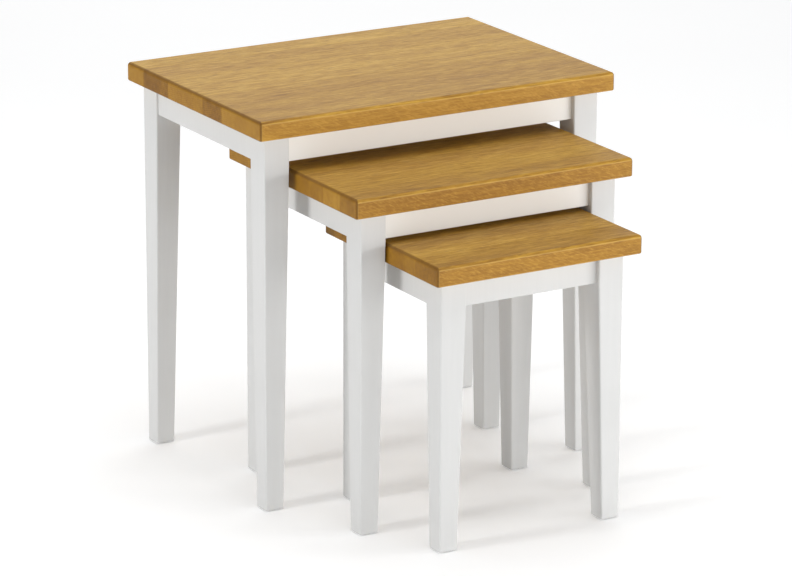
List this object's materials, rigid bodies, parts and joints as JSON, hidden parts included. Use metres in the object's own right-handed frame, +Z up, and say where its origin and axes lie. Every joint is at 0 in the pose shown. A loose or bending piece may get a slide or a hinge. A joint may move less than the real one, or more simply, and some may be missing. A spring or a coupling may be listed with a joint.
{
  "type": "nest of tables",
  "caption": "Nest of matching side tables with laminated oak tops and white painted frames on tapered legs; the smaller tables slide under the large one.",
  "frame": {"origin": "on the floor, at the centre of the footprint of the nest with both smaller tables drawn part-way out", "axes": "+Z up, -Y the front that the smaller tables slide out towards, +X to the right seen from the front"},
  "size_m": [0.504, 0.58, 0.5],
  "materials": {
    "oiled_oak": "satin lacquered oak staves",
    "white_paint": "satin white paint on wood",
    "bare_pine": "sawn and sanded pine, unfinished",
    "beech": "plain turned beech",
    "zinc_steel": "bright zinc plate",
    "grey_felt": "pressed felt"
  },
  "bodies": {
    "large_table": {"large_top": "oiled_oak", "large_leg_front_left": "white_paint", "large_leg_front_right": "white_paint", "large_leg_back_left": "white_paint", "large_leg_back_right": "white_paint", "large_apron_front": "white_paint", "large_apron_back": "white_paint", "large_apron_left": "white_paint", "large_apron_right": "white_paint", "large_corner_blocks": "bare_pine", "large_dowels": "beech", "large_leg_bolts": "zinc_steel", "large_washers": "zinc_steel", "large_nuts": "zinc_steel", "large_top_screws": "zinc_steel", "large_foot_pads": "grey_felt"},
    "medium_table": {"medium_top": "oiled_oak", "medium_leg_front_left": "white_paint", "medium_leg_front_right": "white_paint", "medium_leg_back_left": "white_paint", "medium_leg_back_right": "white_paint", "medium_apron_front": "white_paint", "medium_apron_back": "white_paint", "medium_apron_left": "white_paint", "medium_apron_right": "white_paint", "medium_corner_blocks": "bare_pine", "medium_dowels": "beech", "medium_leg_bolts": "zinc_steel", "medium_washers": "zinc_steel", "medium_nuts": "zinc_steel", "medium_top_screws": "zinc_steel", "medium_foot_pads": "grey_felt"},
    "small_table": {"small_top": "oiled_oak", "small_leg_front_left": "white_paint", "small_leg_front_right": "white_paint", "small_leg_back_left": "white_paint", "small_leg_back_right": "white_paint", "small_apron_front": "white_paint", "small_apron_back": "white_paint", "small_apron_left": "white_paint", "small_apron_right": "white_paint", "small_corner_blocks": "bare_pine", "small_dowels": "beech", "small_leg_bolts": "zinc_steel", "small_washers": "zinc_steel", "small_nuts": "zinc_steel", "small_top_screws": "zinc_steel", "small_foot_pads": "grey_felt"}
  },
  "joints": [
    {"name": "medium_slide", "type": "slide", "parent": "large_table", "child": "medium_table", "axis": [0, -1, 0], "range_m": [-0.13, 0.24]},
    {"name": "small_slide", "type": "slide", "parent": "large_table", "child": "small_table", "axis": [0, -1, 0], "range_m": [-0.23, 0.47]}
  ]
}
